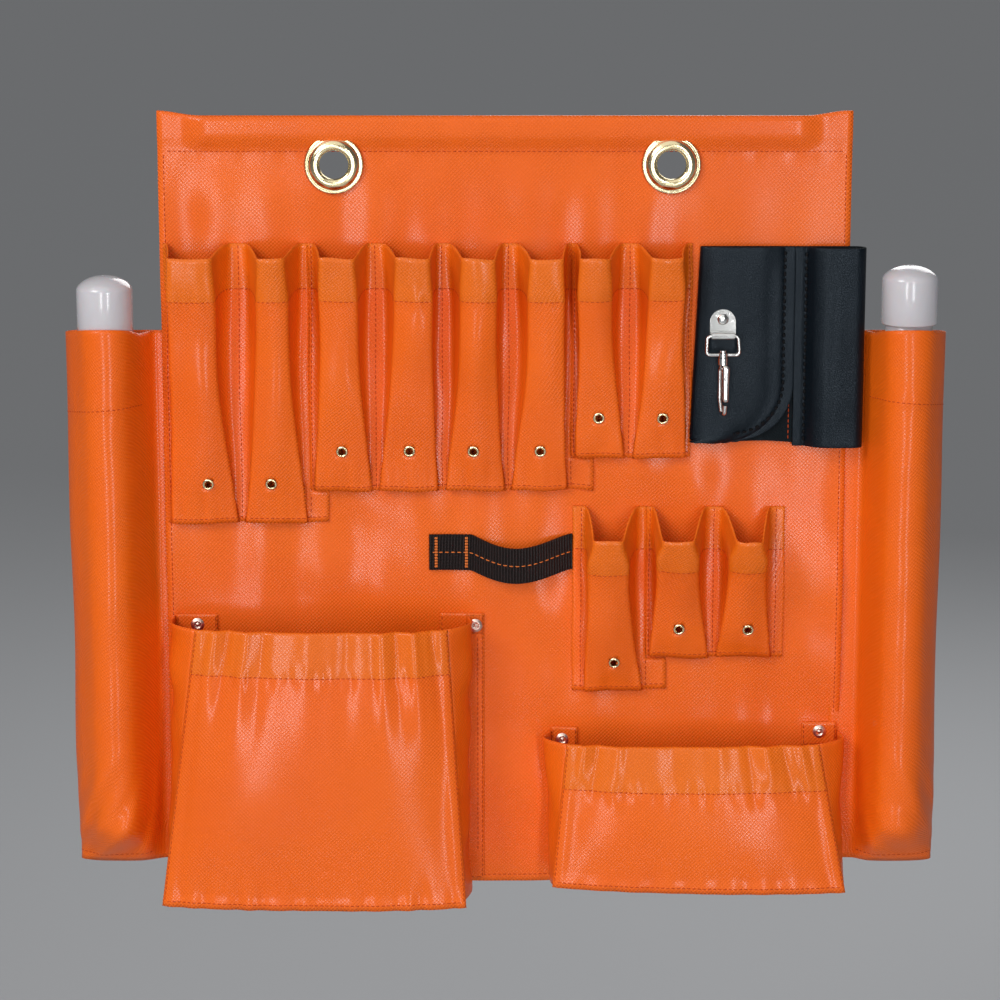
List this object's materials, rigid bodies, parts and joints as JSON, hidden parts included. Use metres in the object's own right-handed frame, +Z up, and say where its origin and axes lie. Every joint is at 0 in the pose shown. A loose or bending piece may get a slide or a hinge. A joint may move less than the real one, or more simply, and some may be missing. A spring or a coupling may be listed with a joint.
{
  "type": "electrician tool pouch",
  "caption": "Hanging tool apron of coated cloth with tool pockets, gathered pouches, capped side tubes, a web loop and a leather knife holder.",
  "frame": {"origin": "midway between the centres of the hanging grommets, on the back face of the panel", "axes": "+X to the right seen from the front, -Y out of the front, +Z up to the hem"},
  "size_m": [0.61, 0.0604, 0.547],
  "materials": {
    "orange_vinyl": "coated woven fabric, semi-gloss",
    "black_leather": "smooth, soft sheen",
    "brown_webbing": "ribbed woven nylon",
    "elastic_web": "matt",
    "brass": "polished",
    "rivet_copper": "plated",
    "nickel_plate": "polished",
    "white_plastic": "gloss",
    "batten_plastic": "matt"
  },
  "bodies": {
    "apron": {"main_panel": "orange_vinyl", "hem_batten": "batten_plastic", "grommet_left": "brass", "grommet_right": "brass", "grommet_washer_left": "brass", "grommet_washer_right": "brass", "top_strip_left": "orange_vinyl", "top_strip_middle": "orange_vinyl", "top_strip_right": "orange_vinyl", "lower_strip_left": "orange_vinyl", "lower_strip_right": "orange_vinyl", "drain_eyelets_top": "brass", "drain_eyelets_lower": "brass", "big_pouch_front": "orange_vinyl", "big_pouch_gusset": "orange_vinyl", "big_pouch_elastic": "elastic_web", "small_pouch_front": "orange_vinyl", "small_pouch_gusset": "orange_vinyl", "small_pouch_elastic": "elastic_web", "pouch_rivets": "rivet_copper", "pouch_rivet_washers": "rivet_copper", "web_loop": "brown_webbing", "left_side_pocket": "orange_vinyl", "right_side_pocket": "orange_vinyl", "knife_sheath": "black_leather", "leather_tool_loop": "black_leather", "hook_plate": "nickel_plate", "hook_rivet": "nickel_plate", "hook_rivet_washer": "nickel_plate"},
    "left_tube_body": {"left_tube": "white_plastic", "left_tube_plug": "white_plastic"},
    "left_cap_body": {"left_tube_cap": "white_plastic"},
    "right_tube_body": {"right_tube": "white_plastic", "right_tube_plug": "white_plastic"},
    "right_cap_body": {"right_tube_cap": "white_plastic"},
    "ring": {"hook_ring": "nickel_plate"},
    "snap": {"snap_hook": "nickel_plate", "gate_pin": "nickel_plate", "gate_spring": "nickel_plate"},
    "gate": {"snap_gate": "nickel_plate"}
  },
  "joints": [
    {"name": "left_tube_slide", "type": "slide", "parent": "apron", "child": "left_tube_body", "axis": [0, 0, 1], "range_m": [0, 0.345]},
    {"name": "left_cap_pull", "type": "slide", "parent": "left_tube_body", "child": "left_cap_body", "axis": [0, 0, 1], "range_m": [0, 0.04]},
    {"name": "right_tube_slide", "type": "slide", "parent": "apron", "child": "right_tube_body", "axis": [0, 0, 1], "range_m": [0, 0.345]},
    {"name": "right_cap_pull", "type": "slide", "parent": "right_tube_body", "child": "right_cap_body", "axis": [0, 0, 1], "range_m": [0, 0.04]},
    {"name": "ring_swing", "type": "hinge", "parent": "apron", "child": "ring", "pos_m": [0.1515, -0.0158, -0.1166], "axis": [-1, 0, 0], "range_deg": [0, 120]},
    {"name": "hook_swivel", "type": "hinge", "parent": "ring", "child": "snap", "pos_m": [0.1515, -0.0188, -0.1292], "axis": [0, 0, 1], "continuous": true},
    {"name": "gate_hinge", "type": "hinge", "parent": "snap", "child": "gate", "pos_m": [0.15239, -0.02124, -0.138], "axis": [0.9397, 0.342, 0], "range_deg": [0, 14], "stiffness_Nm_per_rad": 0.05, "springref_deg": -11.46}
  ]
}
